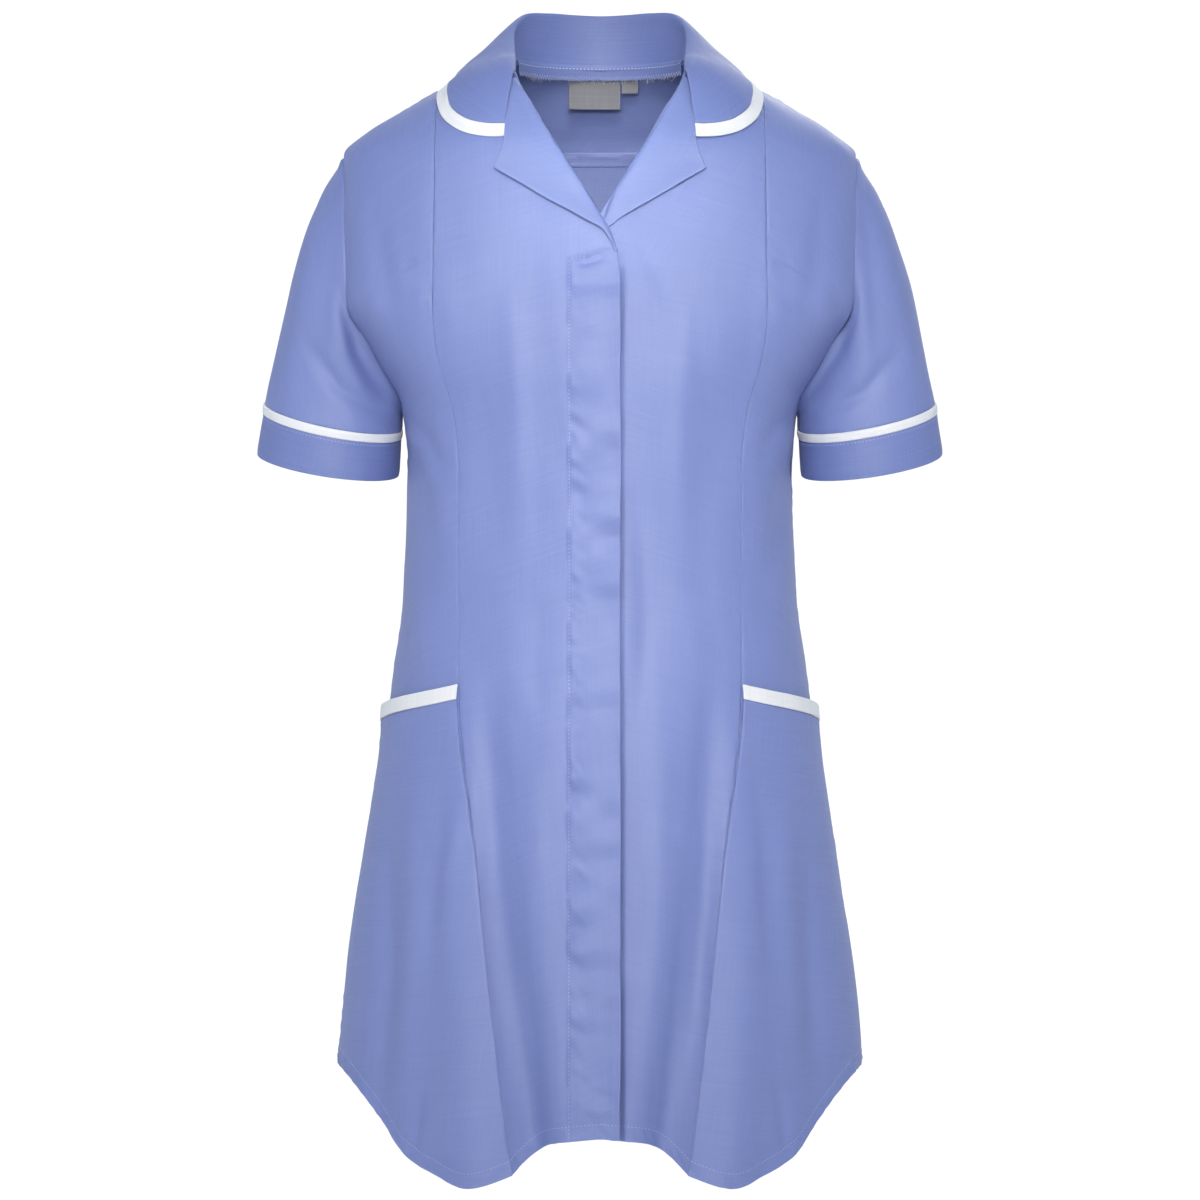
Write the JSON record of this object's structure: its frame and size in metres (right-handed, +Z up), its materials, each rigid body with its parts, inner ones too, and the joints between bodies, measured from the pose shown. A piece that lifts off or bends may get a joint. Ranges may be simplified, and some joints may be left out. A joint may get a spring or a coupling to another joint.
{
  "type": "maternity tunic",
  "caption": "Short-sleeved maternity tunic with bound collar and revers, concealed front closing, princess seams, bound hip pockets and a curved hem, filled out as worn.",
  "frame": {"origin": "middle of the neck at the height of the shoulder points, where the wearer's shoulders hold the tunic", "axes": "+X to the wearer's left, +Y to the back, +Z up; the front faces -Y"},
  "size_m": [0.528, 0.3329, 0.8917],
  "materials": {
    "tunic_cloth": "fine polyester and cotton poplin in cornflower blue, matt with a slight sheen",
    "facing_cloth": "the same poplin, turned back and pressed",
    "white_binding": "white woven binding, matt",
    "label_tape": "grey woven satin tape"
  },
  "bodies": {
    "root": {"front_right": "tunic_cloth", "front_left": "tunic_cloth", "side_front_right": "tunic_cloth", "side_front_left": "tunic_cloth", "pocket_front_right": "tunic_cloth", "pocket_front_left": "tunic_cloth", "pocket_binding_right": "white_binding", "pocket_binding_left": "white_binding", "back_yoke": "tunic_cloth", "back": "tunic_cloth", "sleeve_right": "tunic_cloth", "sleeve_left": "tunic_cloth", "cuff_piping_right": "white_binding", "cuff_piping_left": "white_binding", "sleeve_cuff_right": "tunic_cloth", "sleeve_cuff_left": "tunic_cloth", "collar": "tunic_cloth", "collar_binding": "white_binding", "lapel_right": "facing_cloth", "lapel_left": "facing_cloth", "neck_label": "label_tape", "size_tab": "label_tape"}
  },
  "joints": []
}
